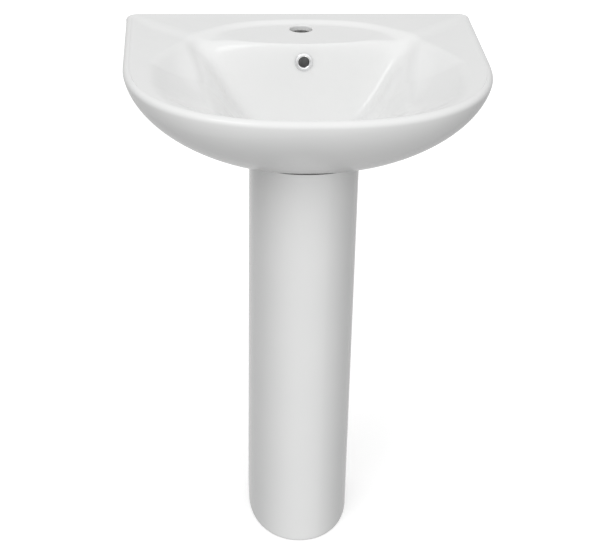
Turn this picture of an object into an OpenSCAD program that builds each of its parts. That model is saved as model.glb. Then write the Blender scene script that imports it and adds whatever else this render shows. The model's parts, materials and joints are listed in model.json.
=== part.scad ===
// Pedestal wash basin: a glazed basin with one tap hole and an overflow, a pedestal,
// a push-plug waste, a bottle trap and the wall bolts.
// Units are millimetres, +Z is up and +Y points at the wall.
// The origin is on the floor, below the centre of the waste.

/* [Basin] */
// Overall width along the wall
basin_w = 550; // [456:1:664]
// Depth from the wall to the front of the rim
basin_d = 456; // [380:1:550]
// Height of the rim above the floor
rim_h = 830; // [690:1:1000]
// Distance from the wall to the centre of the waste
waste_to_wall = 220; // [190:1:250]
// How much each side draws in for every millimetre away from the wall
side_taper = 0.035; // [0:0.005:0.08]
// Squareness of the front curve (2 is a true ellipse)
plan_square = 2.45; // [2:0.05:3]
// Wall thickness of the ceramic
basin_wall = 12; // [8:0.5:16]
// Thickness of the ceramic below the bowl
floor_t = 17; // [13:0.5:22]
// Thickness of the flat back that meets the wall
back_wall = 14; // [10:0.5:20]
// Rounding of the rim's outer edge
rim_round = 9; // [4:0.5:12]
// Height of the open edge at the back below the rim
apron_h = 106; // [90:1:125]

/* [Bowl] */
// Depth of the bowl below the rim at the waste
bowl_depth = 142; // [118:1:171]
// Distance from the waste centre to the edge of the tap ledge
ledge_y = 86; // [76:1:96]
// Width of the flat rim at the front
front_rim = 15; // [10:1:25]
// Width of the flat rim at the sides
side_rim = 38; // [30:1:60]
// Depth of the shallow side wings
wing_depth = 52; // [35:1:70]
// Distance from the wall to the back edge of the tap ledge
ledge_to_wall = 34; // [24:1:40]
// Half width of the central bowl level with the waste
petal_half_w = 155; // [130:1:165]
// How much the central bowl narrows for every millimetre from the waste to the front
petal_spread = 0.15; // [0:0.01:0.35]
// How far the ledge's front edge bows towards the user
ledge_bow = 22; // [0:1:25]
// Recess of the tap ledge below the rim
ledge_recess = 5; // [2:0.5:8]
// Half width of the tap ledge
ledge_half_w = 162; // [140:1:180]
// Depth of the dish in the side rims
dish = 3; // [0:0.5:5]

/* [Holes in the basin] */
// Diameter of the tap hole
tap_hole_d = 35; // [32:0.5:38]
// Distance from the wall to the centre of the tap hole
tap_to_wall = 61; // [55:1:75]
// How much wider the waste hole is than the waste
waste_hole_gap = 4.1; // [2:0.1:6]
// Diameter of the overflow hole
overflow_hole_d = 21; // [18:0.5:24]
// Height of the overflow centre below the rim
overflow_drop = 31; // [27:0.5:38]
// Distance between the two wall bolts
bolt_spacing = 280; // [200:5:300]
// Height of the wall bolts below the rim
bolt_drop = 52; // [45:1:60]
// Diameter of the wall bolt holes
bolt_hole_d = 15; // [14:0.5:18]

/* [Pedestal] */
// Half the width of the pedestal at the floor
foot_half_w = 85.5; // [78:0.5:95]
// Half the width of the pedestal under the basin
head_half_w = 83; // [76:0.5:95]
// Distance from the waste centre to the front of the pedestal
pedestal_front = 91; // [84:1:104]
// Distance from the waste centre to the back of the pedestal
pedestal_back = 84; // [70:1:100]
// Wall thickness of the pedestal
pedestal_wall = 11; // [8:0.5:14]
// Width of the opening in the back of the pedestal
back_opening_w = 108; // [90:1:116]
// Thickness of the foot ledges
foot_ledge_t = 14; // [10:1:20]
// Diameter of the floor screw holes
floor_hole_d = 10; // [8:0.5:12]
// Thickness of the rubber pads between pedestal and basin
pad_t = 3; // [2:0.5:5]

/* [Waste and trap] */
// Outer diameter of the waste thread
waste_d = 41.9; // [34:0.1:51]
// Length of the waste below its flange
waste_len = 88; // [78:1:100]
// How far the waste flange reaches past the thread
waste_flange_w = 11; // [9:0.5:14]
// How far the plug travels when pressed
plug_travel = 9; // [6:0.5:12]
// Outer diameter of the trap pipes
pipe_d = 32; // [26:0.5:39]
// Outer diameter of the bottle
bottle_d = 62; // [51:1:75]
// Distance from the end of the waste down to the trap outlet
outlet_drop = 66; // [62:1:90]
// How far the outlet pipe runs into the wall
outlet_in_wall = 45; // [20:1:80]

/* [Hidden] */
$fn = 48;

back_y = waste_to_wall;
shell_depth = bowl_depth + floor_t;
waste_hole_d = waste_d + waste_hole_gap;
waste_flange_d = waste_d + 2*waste_flange_w;
front_b = basin_d - waste_to_wall;
half_w = basin_w/2;

// ---------- shared shape functions ----------

// Half width of the basin before the front curve starts to close it
function side_half(y, t) = half_w - side_taper*(back_y - y) - t;

// Radius of the back corners, and the facets in a quarter of each front curve
corner_r = 12;
front_steps = 13;

// Points along the right half of the plan outline, from the back centre to the front centre.
// t draws the outline in, and back is where the back edge lies.
function half_plan(t, back) =
    let(corner_x = side_half(back, t) - corner_r)
    concat(
        [for (s = [0, 0.3, 0.55, 0.75, 0.9]) [s*corner_x, back]],
        [for (a = [90:-22.5:0]) [corner_x + corner_r*cos(a), back - corner_r*(1 - sin(a))]],
        [for (s = [0.78, 0.6, 0.42, 0.22]) [side_half(s*back, t), s*back]],
        [for (i = [0:front_steps])
            let(a = 90*i/front_steps, y = -(front_b - t)*pow(sin(a), 2/plan_square))
            [side_half(y, t)*pow(max(cos(a), 0), 2/plan_square), y]]
    );

// The whole outline, counter-clockwise seen from above
function plan(t = 0, back = back_y) =
    let(h = half_plan(t, back), n = len(h))
    concat(
        [for (i = [0:n - 1]) [-h[i][0], h[i][1]]],
        [for (i = [n - 2:-1:1]) h[i]]
    );

// Closed solid through a stack of rings with equal numbers of points, lowest ring first
module loft(rings) {
    n = len(rings[0]);
    m = len(rings);
    sides = [for (j = [0:m - 2]) for (i = [0:n - 1])
        let(a = j*n + i, b = j*n + (i + 1)%n)
        each [[a, a + n, b], [b, a + n, b + n]]];
    caps = [[for (i = [0:n - 1]) i], [for (i = [n - 1:-1:0]) (m - 1)*n + i]];
    polyhedron([for (ring = rings) each ring], concat(sides, caps));
}

// How far the shell has closed in at a depth d below the rim: full at the sides, flat below
side_full = 1.82;
belly_full = 1.51;
function shell_scale(d, depth) = pow(1 - pow(d/depth, side_full), 1/belly_full);

// One ring of the shell: the front closes in both ways, the back only sideways
function shell_ring(outline, s, z) = [for (p = outline) [s*p[0], p[1] < 0 ? s*p[1] : p[1], z]];

// The solid outside of the basin, drawn in by t
module shell(t = 0, back = back_y, top = rim_h) {
    depth = shell_depth - t;
    outline = plan(t, back);
    steps = [0.985, 0.94, 0.87, 0.77, 0.65, 0.52, 0.39, 0.26, 0.14, 0.06];
    loft(concat(
        [for (s = steps) shell_ring(outline, shell_scale(s*depth, depth), rim_h - s*depth)],
        [shell_ring(outline, 1, top)]
    ));
}

// The same solid with the rounded rim edge
module rounded_shell() {
    outline = plan();
    steps = [0.985, 0.94, 0.87, 0.77, 0.65, 0.52, 0.39, 0.26, 0.14];
    loft(concat(
        [for (s = steps)
            shell_ring(outline, shell_scale(s*shell_depth, shell_depth), rim_h - s*shell_depth)],
        [for (a = [0, 30, 60, 90])
            let(inset = rim_round*(1 - cos(a)))
            [for (p = plan(inset, back_y - inset/3)) [p[0], p[1], rim_h - rim_round*(1 - sin(a))]]]
    ));
}

// Larger of two depths with a rounded meeting line of width k
function soft_max(a, b, k) = let(h = max(k - abs(a - b), 0)) max(a, b) + h*h/(4*k);
function soft_min(a, b, k) = -soft_max(-a, -b, k);

// Squareness of the bowl's curves, front and sides first, then the wall under the tap ledge
petal_square = 2.6;
petal_back_square = 3.2;
// Corners between the petal and the ledge: how tight they are and how they flare, in 1/mm
petal_corner = 3;
petal_flare = 0.0009;
// Back of the wings: how they draw in, their reach, and the slope up to the line of the rim's dish
wing_draw = 0.35;
wing_back = 165;
wing_rise = 0.45;
wing_square = 2.8;
ledge_square = 2.4;

// Central petal of the bowl: wide at the tap ledge and narrow at the front
function petal_depth(x, y, t) =
    let(a = petal_half_w + t + (y < 0 ? petal_spread*y : petal_flare*y*y),
        b = y < 0 ? front_b - front_rim + t : ledge_y + ledge_bow*pow(x/ledge_half_w, 2) + t,
        p = y < 0 ? petal_square : petal_back_square,
        n = y < 0 ? 1 : petal_corner,
        across = pow(abs(x)/a, petal_square), along = pow(abs(y)/b, p))
    (bowl_depth + t)*(1 - pow(pow(across, n) + pow(along, n), 1/n));

// Shallow wings on both sides of it
wing_half = half_w - side_taper*back_y - side_rim;
function wing_depth_at(x, y, t) =
    let(a = wing_half - wing_draw*max(y, 0) + t,
        b = y < 0 ? front_b - front_rim - 2 + t : wing_back + t,
        hollow = (wing_depth + t)*(1 - pow(abs(x)/a, wing_square) - pow(abs(y)/b, wing_square)))
    soft_min(hollow, t + 5 + wing_rise*before_line(x, y), 12);

// Tap ledge: a shallow recess with an arched back edge
ledge_mid_y = ledge_y - 16;
ledge_half = back_y - ledge_to_wall - ledge_mid_y;
function ledge_depth(x, y, t) =
    let(rho = pow(abs(x)/(ledge_half_w + t), ledge_square)
            + pow(abs(y - ledge_mid_y)/(ledge_half + t), ledge_square))
    t + soft_min(ledge_recess, 40*(1 - rho), 4);

// Slight dish of the side rims, which ends on a line from each back corner to the ledge.
// The line meets the ledge at (dish_x, dish_y).
dish_x = ledge_half_w - 2;
dish_y = ledge_y + 19;
function before_line(x, y) = 0.7*(abs(x) - dish_x) - 0.72*(y - dish_y);
function dish_depth(x, y, t) =
    let(from_edge = side_half(y, 0) - abs(x))
    t + soft_min(dish, soft_min(0.25*before_line(x, y), 0.12*(from_edge - 10), 2), 2);

// Depth of the whole top surface below the rim, thickened by t
function top_depth(x, y, t) =
    let(bowl = soft_max(petal_depth(x, y, t), wing_depth_at(x, y, t), 36),
        edge = 10 + 26*min(pow(x/ledge_half_w, 2), 1),
        deep = soft_max(bowl, ledge_depth(x, y, t), edge))
    soft_max(soft_max(deep, dish_depth(x, y, t), 5), t, 3);

// Everything above the top surface, thickened by t
module bowl_space(t = 0) {
    steps = [0.09, 0.16, 0.24, 0.31, 0.36, 0.41, 0.48, 0.56, 0.64, 0.71, 0.77,
             0.82, 0.86, 0.9, 0.94, 0.975, 1.04];
    outline = plan();
    lift = 0.03;
    centre_z = rim_h - top_depth(0, 0, t) + lift;
    loft(concat(
        [for (j = [0:len(steps) - 1]) [for (p = outline)
            let(x = steps[j]*p[0], y = steps[j]*p[1])
            [x, y, j == 0 ? centre_z : rim_h - top_depth(x, y, t) + lift]]],
        [[for (p = outline) [1.04*p[0], 1.04*p[1], rim_h + 5]]]
    ));
}

// ---------- levels of the waste and the trap ----------

bowl_z = rim_h - bowl_depth;
seat_z = bowl_z - 1;
boss_z = seat_z - 37;
boss_r = waste_hole_d/2 + 20;
flange_t = 3;
top_seal_t = 2;
flange_z = seat_z + top_seal_t;
waste_end_z = flange_z - waste_len;
bottom_seal_t = 8;
washer_t = 2;
backnut_h = 10;
backnut_z = boss_z - bottom_seal_t - washer_t - backnut_h;
fit = 0.05;

overflow_y = (ledge_y)*pow(1 - overflow_drop/bowl_depth, 1/3.2);
overflow_z = rim_h - overflow_drop;
overflow_tilt = 10;
channel_w = 30;
channel_t = 13;
channel_y = ledge_y + basin_wall + 2;

// ---------- basin ----------

module rear_cut() {
    rotate([90, 0, 90])
        linear_extrude(basin_w + 40, center = true)
            polygon([
                [boss_r + 8, rim_h - shell_depth - 20],
                [boss_r + 8, rim_h - shell_depth + 3],
                [back_y + 5, rim_h - apron_h],
                [back_y + 5, rim_h - shell_depth - 20]
            ]);
}

// Ceramic that carries the hidden overflow channel and the waste
module waste_boss() {
    translate([0, 0, boss_z])
        cylinder(h = bowl_z - boss_z, r = boss_r);
    translate([-channel_w/2 - 9, 0, boss_z])
        cube([channel_w + 18, channel_y + channel_t + 9, 34]);
    translate([-channel_w/2 - 9, ledge_y - 24, boss_z])
        cube([channel_w + 18, channel_y + channel_t + 33 - ledge_y, overflow_z + 24 - boss_z]);
}

module overflow_channel() {
    translate([-channel_w/2, 0, boss_z + 10])
        cube([channel_w, channel_y + channel_t, 14]);
    translate([-channel_w/2, channel_y, boss_z + 10])
        cube([channel_w, channel_t, overflow_z + 12 - boss_z - 10]);
}

module basin_body() {
    difference() {
        union() {
            difference() {
                rounded_shell();
                difference() {
                    shell(basin_wall, back_y - back_wall, rim_h + 1);
                    bowl_space(basin_wall);
                }
                rear_cut();
            }
            waste_boss();
        }
        bowl_space();
        overflow_channel();
        waste_bore(waste_hole_d - 2);
        overflow_bore(overflow_hole_d - 2);
    }
}

module waste_bore(d) {
    translate([0, 0, boss_z - 1])
        cylinder(h = 60, d = d);
}

// Runs from the bowl into the hidden channel, square to the back wall of the bowl
module overflow_bore(d) {
    translate([0, overflow_y, overflow_z])
        rotate([90 - overflow_tilt, 0, 0])
            translate([0, 0, -28])
                cylinder(h = 48, d = d);
}

module at_bolts() {
    for (side = [-1, 1])
        translate([side*bolt_spacing/2, back_y, rim_h - bolt_drop])
            rotate([90, 0, 0])
                children();
}

module basin() {
    color("white")
        difference() {
            resize([0, 0, 0])
                basin_body();
            translate([0, back_y - tap_to_wall, rim_h - 60])
                cylinder(h = 70, d = tap_hole_d);
            waste_bore(waste_hole_d);
            overflow_bore(overflow_hole_d);
            translate([0, 0, seat_z])
                cylinder(h = 12, d = waste_flange_d + 3);
            at_bolts()
                cylinder(h = 4*back_wall, d = bolt_hole_d, center = true);
        }
}

// Chrome ring pressed into the overflow hole, with a tube that follows the hole
overflow_tube_l = 9;
module overflow_ring() {
    lip_y = 1.2;
    color("gainsboro")
        translate([0, overflow_y, overflow_z])
            rotate([90 - overflow_tilt, 0, 0])
                rotate_extrude()
                    polygon([
                        [overflow_hole_d/2 - 2.2, -overflow_tube_l],
                        [overflow_hole_d/2 - 0.4, -overflow_tube_l],
                        [overflow_hole_d/2 - 0.4, lip_y],
                        [overflow_hole_d/2 + 3, lip_y],
                        [overflow_hole_d/2 + 2.4, lip_y + 1.6],
                        [overflow_hole_d/2 + 0.6, lip_y + 2.2],
                        [overflow_hole_d/2 - 1.2, lip_y + 1.8],
                        [overflow_hole_d/2 - 2.2, lip_y + 0.6]
                    ]);
}

// ---------- pedestal ----------

pedestal_top = rim_h - shell_depth + 60;

pedestal_corner_r = 7;
pedestal_square = 2.1;
// Depth of the front curve for its half width
pedestal_nose = 1.4;
floor_hole_x = (back_opening_w/2 + foot_half_w - pedestal_wall)/2;
floor_hole_y = 30;
// Front end of the gap between the foot ledges, in front of the waste's axis
foot_gap_front = 44;

function pedestal_half_w(z) = foot_half_w + (head_half_w - foot_half_w)*z/pedestal_top;

// Outline of the pedestal at height z, drawn in by t, counter-clockwise from above
function pedestal_plan(z, t) =
    let(w = pedestal_half_w(z) - t,
        mid_y = pedestal_nose*pedestal_half_w(z) - pedestal_front,
        nose = mid_y + pedestal_front - t,
        back = pedestal_back - t,
        r = pedestal_corner_r,
        half = concat(
            [[0, back], [0.6*(w - r), back]],
            [for (a = [90:-30:0]) [w - r + r*cos(a), back - r*(1 - sin(a))]],
            [for (s = [0.66, 0.33]) [w, mid_y + s*(back - mid_y)]],
            [for (i = [0:front_steps])
                let(a = 90*i/front_steps)
                [w*pow(max(cos(a), 0), 2/pedestal_square), mid_y - nose*pow(sin(a), 2/pedestal_square)]]),
        n = len(half))
    concat(
        [for (i = [0:n - 1]) [-half[i][0], half[i][1], z]],
        [for (i = [n - 2:-1:1]) [half[i][0], half[i][1], z]]
    );

module column(t, low, high) {
    loft([for (z = [low, high]) pedestal_plan(z, t)]);
}

module pedestal() {
    foot_edge = 3;
    color("white")
        difference() {
            resize([0, 0, 0])
                difference() {
                    loft([
                        pedestal_plan(0, foot_edge/2),
                        pedestal_plan(foot_edge, 0),
                        pedestal_plan(pedestal_top, 0)
                    ]);
                    column(pedestal_wall, foot_ledge_t, pedestal_top + 5);
                    translate([-back_opening_w/2, -foot_gap_front, -1])
                        cube([back_opening_w, 2*foot_gap_front + pedestal_back, foot_ledge_t + 2]);
                    translate([-back_opening_w/2, pedestal_back - 30, -1])
                        cube([back_opening_w, 60, pedestal_top + 5]);
                    shell(-pad_t, back_y + 10, pedestal_top + 60);
                }
            for (side = [-1, 1])
                translate([side*floor_hole_x, floor_hole_y, -1])
                    cylinder(h = foot_ledge_t + 2, d = floor_hole_d);
        }
}

// Rubber pads between the top edge of the pedestal and the basin
module pedestal_pads() {
    pad_w = 18;
    edge = 1.5;
    skin = 0.02;
    color("dimgray")
        resize([0, 0, 0])
            difference() {
                intersection() {
                    for (side = [-1, 1]) {
                        translate([side*head_half_w, 8, pedestal_top - 60])
                            cube([4*pedestal_wall, pad_w, 300], center = true);
                        translate([side*0.45*head_half_w, -pedestal_front + 18, pedestal_top - 60])
                            cube([pad_w, 60, 300], center = true);
                    }
                    column(edge, pedestal_top - 200, pedestal_top);
                    shell(skin - pad_t, back_y + 10, pedestal_top + 60);
                }
                column(pedestal_wall - edge, pedestal_top - 210, pedestal_top + 10);
                shell(-skin, back_y + 11, pedestal_top + 70);
            }
}

// ---------- waste ----------

module tube(low, high, outer_r, inner_r) {
    translate([0, 0, low])
        difference() {
            cylinder(h = high - low, r = outer_r);
            translate([0, 0, -1])
                cylinder(h = high - low + 2, r = inner_r);
        }
}

waste_r = waste_d/2;
waste_bore_r = waste_r - 2.6;
flange_top = flange_z + flange_t;
spider_z = boss_z - 12;
spider_h = 6;
hub_r = 7.5;
cartridge_thread_r = 4;

// Threaded waste with its flange, overflow slots and the spider that holds the plug
module waste_body() {
    slot_w = 22;
    slot_h = 12;
    color("silver")
        difference() {
            union() {
                rotate_extrude()
                    polygon([
                        [waste_bore_r, waste_end_z],
                        [waste_r, waste_end_z],
                        [waste_r, flange_z],
                        [waste_flange_d/2, flange_z],
                        [waste_flange_d/2, flange_z + 1.2],
                        [waste_flange_d/2 - 1.5, flange_top],
                        [waste_r + 2, flange_top],
                        [waste_bore_r, flange_top - 3]
                    ]);
                tube(spider_z, spider_z + spider_h, hub_r, cartridge_thread_r);
                for (a = [0:120:240])
                    rotate([0, 0, a + 30])
                        translate([hub_r - 1, -1.5, spider_z])
                            cube([waste_bore_r - hub_r + 2, 3, spider_h]);
            }
            translate([-slot_w/2, -waste_r - 5, boss_z + 11])
                cube([slot_w, 2*waste_r + 10, slot_h]);
        }
}

module waste_top_seal() {
    color("black")
        tube(seat_z, flange_z, waste_flange_d/2 - 1, waste_r + fit);
}

module waste_bottom_seal() {
    color("black")
        translate([0, 0, boss_z - bottom_seal_t])
            rotate_extrude()
                polygon([
                    [waste_r + fit, 0],
                    [boss_r - 11, 0],
                    [boss_r - 11, bottom_seal_t],
                    [waste_r + fit, bottom_seal_t]
                ]);
}

module waste_washer() {
    color("gainsboro")
        tube(backnut_z + backnut_h, boss_z - bottom_seal_t, boss_r - 11, waste_r + fit);
}

module waste_backnut() {
    color("goldenrod")
        translate([0, 0, backnut_z])
            difference() {
                cylinder(h = backnut_h, r = waste_r + 9, $fn = 6);
                translate([0, 0, -1])
                    cylinder(h = backnut_h + 2, r = waste_r + fit, $fn = 48);
            }
}

// ---------- push plug ----------

plug_gap = 0.3;
seal_h = 2.5;
cap_z = flange_top + plug_travel + plug_gap + seal_h;
cap_r = waste_flange_d/2 - 1;
stem_r = 4;
housing_r = 7;
housing_z = spider_z + spider_h;
housing_top = flange_top - 8;
collar_h = 3;
collar_top = housing_top - 4.1;
rotor_h = 5;
rotor_z = collar_top - collar_h - rotor_h - 0.1;
spring_z = housing_z + 2;

module plug_cap() {
    cap_h = 5;
    socket_h = 8;
    color("silver")
        rotate_extrude()
            polygon([
                [0, cap_z - 1],
                [stem_r + fit, cap_z - 1],
                [stem_r + fit, cap_z - socket_h],
                [stem_r + 3, cap_z - socket_h],
                [stem_r + 3, cap_z - seal_h],
                [waste_r - 6, cap_z - seal_h],
                [waste_r - 6, cap_z],
                [cap_r, cap_z],
                [cap_r, cap_z + 1.2],
                [cap_r - 1.2, cap_z + 2.6],
                [cap_r - 8, cap_z + cap_h - 1],
                [cap_r/2, cap_z + cap_h],
                [0, cap_z + cap_h + 0.4]
            ]);
}

module plug_seal() {
    color("black")
        tube(cap_z - seal_h, cap_z, cap_r - 2, waste_r - 6 + fit);
}

module plug_stem() {
    color("ivory")
        union() {
            translate([0, 0, collar_top - collar_h])
                cylinder(h = cap_z - 1 - (collar_top - collar_h), r = stem_r);
            translate([0, 0, collar_top - collar_h])
                cylinder(h = collar_h, r = stem_r + 1.3);
            translate([0, 0, rotor_z - 1])
                cylinder(h = rotor_h + 2, r = 2);
        }
}

module latch_rotor() {
    color("orange")
        difference() {
            union() {
                tube(rotor_z, rotor_z + rotor_h, stem_r + 0.6, 2.05);
                for (a = [0:90:270])
                    rotate([0, 0, a])
                        translate([stem_r - 0.4, -0.8, rotor_z])
                            cube([1.7, 1.6, rotor_h - 1]);
            }
        }
}

// Round wire coiled from z = low to z = high
module coil(radius, wire_r, turns, low, high) {
    sides = 8;
    per_turn = 18;
    count = turns*per_turn;
    rise = (high - low - 2*wire_r)/count;
    loft([for (i = [0:count]) [for (k = [0:sides - 1])
        let(a = -i*360/per_turn, b = -k*360/sides, r = radius + wire_r*cos(b))
        [r*cos(a), r*sin(a), low + wire_r + i*rise + wire_r*sin(b)]]]);
}

module plug_spring() {
    color("lightgray")
        coil(4.4, 0.45, 6, spring_z, rotor_z);
}

// Housing of the push catch, screwed into the spider
module plug_cartridge() {
    color("ivory")
        rotate_extrude()
            polygon([
                [0, spider_z],
                [cartridge_thread_r - 0.02, spider_z],
                [cartridge_thread_r - 0.02, housing_z],
                [housing_r, housing_z],
                [housing_r, housing_top],
                [stem_r + 0.1, housing_top],
                [stem_r + 0.1, housing_top - 4],
                [stem_r + 1.6, housing_top - 4],
                [stem_r + 1.6, spring_z],
                [0, spring_z]
            ]);
}

// ---------- bottle trap ----------

pipe_r = pipe_d/2;
pipe_t = 2;
bottle_r = bottle_d/2;
outlet_h = waste_end_z - outlet_drop;
bottle_t = 3;
joint_washer_t = 3.5;
lip_t = 2.5;
shoulder_t = 3;
lip_z = waste_end_z - joint_washer_t - lip_t;
neck_r = pipe_r + 4;
neck_top = outlet_h + 40;
shoulder_z = outlet_h + 24;
body_end = outlet_h - 91;
dip_end = outlet_h - 62;
cup_wall = 3;
cup_z = body_end - 20;
cup_top = body_end + 18;
cup_seal_t = 3;
stub_end = bottle_r + 22;

module ribbed_nut(low, high, bore_r, hole_r, shoulder) {
    grip_r = bore_r + 5;
    difference() {
        union() {
            translate([0, 0, low])
                cylinder(h = high - low, r = grip_r);
            for (a = [0:30:330])
                rotate([0, 0, a])
                    translate([grip_r - 1, -1.5, low + 1])
                        cube([2.4, 3, high - low - 2]);
        }
        translate([0, 0, low - 1])
            cylinder(h = high - low + 2, r = hole_r);
        translate([0, 0, low + shoulder])
            cylinder(h = high - low, r = bore_r);
    }
}

module trap_inlet_nut() {
    color("whitesmoke")
        ribbed_nut(lip_z - shoulder_t, waste_end_z + 14, waste_r + fit, pipe_r + 0.3, shoulder_t);
}

module trap_inlet_washer() {
    color("black")
        tube(lip_z + lip_t, waste_end_z, waste_r - 0.4, pipe_r - pipe_t);
}

module trap_dip_tube() {
    color("whitesmoke")
        difference() {
            union() {
                translate([0, 0, dip_end])
                    cylinder(h = lip_z - dip_end, r = pipe_r);
                translate([0, 0, lip_z])
                    cylinder(h = lip_t, r = waste_r - 0.4);
            }
            translate([0, 0, dip_end - 1])
                cylinder(h = lip_z + lip_t - dip_end + 2, r = pipe_r - pipe_t);
        }
}

module trap_neck_nut() {
    color("whitesmoke")
        translate([0, 0, 2*neck_top])
            mirror([0, 0, 1])
                ribbed_nut(
                    neck_top - joint_washer_t - shoulder_t, neck_top + 12,
                    neck_r + fit, pipe_r + 0.3, shoulder_t
                );
}

module trap_neck_washer() {
    color("black")
        tube(neck_top, neck_top + joint_washer_t, neck_r - 0.2, pipe_r + 0.02);
}

module at_outlet() {
    translate([0, 0, outlet_h])
        rotate([-90, 0, 0])
            children();
}

module trap_body() {
    color("whitesmoke")
        difference() {
            union() {
                rotate_extrude()
                    polygon([
                        [0, body_end],
                        [bottle_r - 1, body_end],
                        [bottle_r - 1, body_end + 20],
                        [bottle_r, body_end + 21],
                        [bottle_r, shoulder_z - 6],
                        [bottle_r - 3, shoulder_z - 1],
                        [neck_r, shoulder_z + 3],
                        [neck_r, neck_top],
                        [0, neck_top]
                    ]);
                at_outlet()
                    cylinder(h = stub_end, r = neck_r);
            }
            rotate_extrude()
                polygon([
                    [0, body_end - 1],
                    [bottle_r - 1 - bottle_t, body_end - 1],
                    [bottle_r - 1 - bottle_t, shoulder_z - 7],
                    [pipe_r + 1, shoulder_z - 1],
                    [pipe_r + 0.3, shoulder_z + 2],
                    [pipe_r + 0.3, neck_top + 1],
                    [0, neck_top + 1]
                ]);
            at_outlet() {
                translate([0, 0, pipe_r + 3])
                    cylinder(h = stub_end, r = pipe_r - pipe_t);
                translate([0, 0, bottle_r + 8])
                    cylinder(h = stub_end, r = pipe_r + fit);
            }
        }
}

module trap_cup_seal() {
    color("black")
        tube(body_end - cup_seal_t, body_end, bottle_r - 1.2, bottle_r - 4);
}

module trap_cup() {
    outer_r = bottle_r + cup_wall - 0.5;
    color("whitesmoke")
        union() {
            rotate_extrude()
                polygon([
                    [0, cup_z],
                    [outer_r - 6, cup_z],
                    [outer_r, cup_z + 6],
                    [outer_r, cup_top],
                    [bottle_r - 1 + fit, cup_top],
                    [bottle_r - 1 + fit, body_end - cup_seal_t],
                    [bottle_r - 5, body_end - cup_seal_t],
                    [bottle_r - 5, cup_z + 8],
                    [bottle_r - 9, cup_z + 3],
                    [0, cup_z + 3]
                ]);
            for (a = [0:30:330])
                rotate([0, 0, a])
                    translate([outer_r - 1, -2, cup_z + 8])
                        cube([2.6, 4, cup_top - cup_z - 10]);
        }
}

module trap_outlet_nut() {
    color("whitesmoke")
        at_outlet()
            translate([0, 0, 2*stub_end])
                mirror([0, 0, 1])
                    ribbed_nut(
                        stub_end - joint_washer_t - shoulder_t, stub_end + 12,
                        neck_r + fit, pipe_r + 0.3, shoulder_t
                    );
}

module trap_outlet_washer() {
    color("black")
        at_outlet()
            tube(stub_end, stub_end + joint_washer_t, neck_r - 0.2, pipe_r + 0.02);
}

// The groove round the pipe marks how far it goes into the wall
module trap_outlet_pipe() {
    groove_w = 2;
    groove_t = 0.4;
    color("whitesmoke")
        at_outlet()
            difference() {
                tube(bottle_r + 9, back_y + outlet_in_wall, pipe_r, pipe_r - pipe_t);
                tube(back_y, back_y + groove_w, pipe_r + 1, pipe_r - groove_t);
            }
}

module wall_rosette() {
    depth = 11;
    rosette_r = pipe_r + 19;
    color("silver")
        at_outlet()
            translate([0, 0, back_y])
                rotate_extrude()
                    polygon([
                        [pipe_r + 0.1, -depth],
                        [pipe_r + 2, -depth],
                        [rosette_r - 8, -depth + 4],
                        [rosette_r - 1, -2.5],
                        [rosette_r, 0],
                        [rosette_r - 1.5, 0],
                        [rosette_r - 8, -depth + 6],
                        [pipe_r + 0.1, -depth + 2.5]
                    ]);
}

// ---------- wall bolts ----------

bolt_r = 5;
bolt_in_wall = 60;
bolt_washer_t = 2;
bolt_nut_h = 8;
sleeve_flange_t = 3;

// Hanger bolts: one thread for the wall and one for the nut, with a plain neck between them
module wall_bolts() {
    reach = back_wall + sleeve_flange_t + bolt_washer_t + bolt_nut_h + 6;
    neck = 3;
    color("silver")
        at_bolts() {
            translate([0, 0, -bolt_in_wall])
                cylinder(h = bolt_in_wall, r = bolt_r);
            cylinder(h = neck, r = bolt_r - 0.5);
            translate([0, 0, neck])
                cylinder(h = reach - neck, r = bolt_r);
        }
}

module bolt_sleeves() {
    color("ivory")
        at_bolts()
            difference() {
                union() {
                    translate([0, 0, 1])
                        cylinder(h = back_wall - 1, r = bolt_hole_d/2 - 0.1);
                    translate([0, 0, back_wall])
                        cylinder(h = sleeve_flange_t, r = bolt_hole_d/2 + 5);
                }
                cylinder(h = 80, r = bolt_r + fit, center = true);
            }
}

module bolt_washers() {
    color("gainsboro")
        at_bolts()
            tube(
                back_wall + sleeve_flange_t, back_wall + sleeve_flange_t + bolt_washer_t,
                bolt_hole_d/2 + 4, bolt_r + 0.2
            );
}

module bolt_nuts() {
    nut_across_corners = 19.6;
    color("silver")
        at_bolts()
            translate([0, 0, back_wall + sleeve_flange_t + bolt_washer_t])
                difference() {
                    cylinder(h = bolt_nut_h, d = nut_across_corners, $fn = 6);
                    translate([0, 0, -1])
                        cylinder(h = bolt_nut_h + 2, r = bolt_r + fit, $fn = 48);
                }
}

basin();
overflow_ring();
pedestal();
pedestal_pads();
waste_body();
waste_top_seal();
waste_bottom_seal();
waste_washer();
waste_backnut();
plug_cap();
plug_seal();
plug_stem();
plug_spring();
plug_cartridge();
latch_rotor();
trap_inlet_nut();
trap_inlet_washer();
trap_dip_tube();
trap_neck_nut();
trap_neck_washer();
trap_body();
trap_cup_seal();
trap_cup();
trap_outlet_nut();
trap_outlet_washer();
trap_outlet_pipe();
wall_rosette();
wall_bolts();
bolt_sleeves();
bolt_washers();
bolt_nuts();
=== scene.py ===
# %% [markdown]
# # A pedestal wash basin
# A glazed basin stands on a hollow pedestal. Behind the pedestal are the waste, a bottle trap and the
# wall bolts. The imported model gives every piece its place. This script adds the finish of each piece
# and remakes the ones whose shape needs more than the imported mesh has: the glazed ware, the chrome
# and the threads.

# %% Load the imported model
import json
import math

import bpy
import numpy as np
from mathutils import Matrix, Vector


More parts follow.
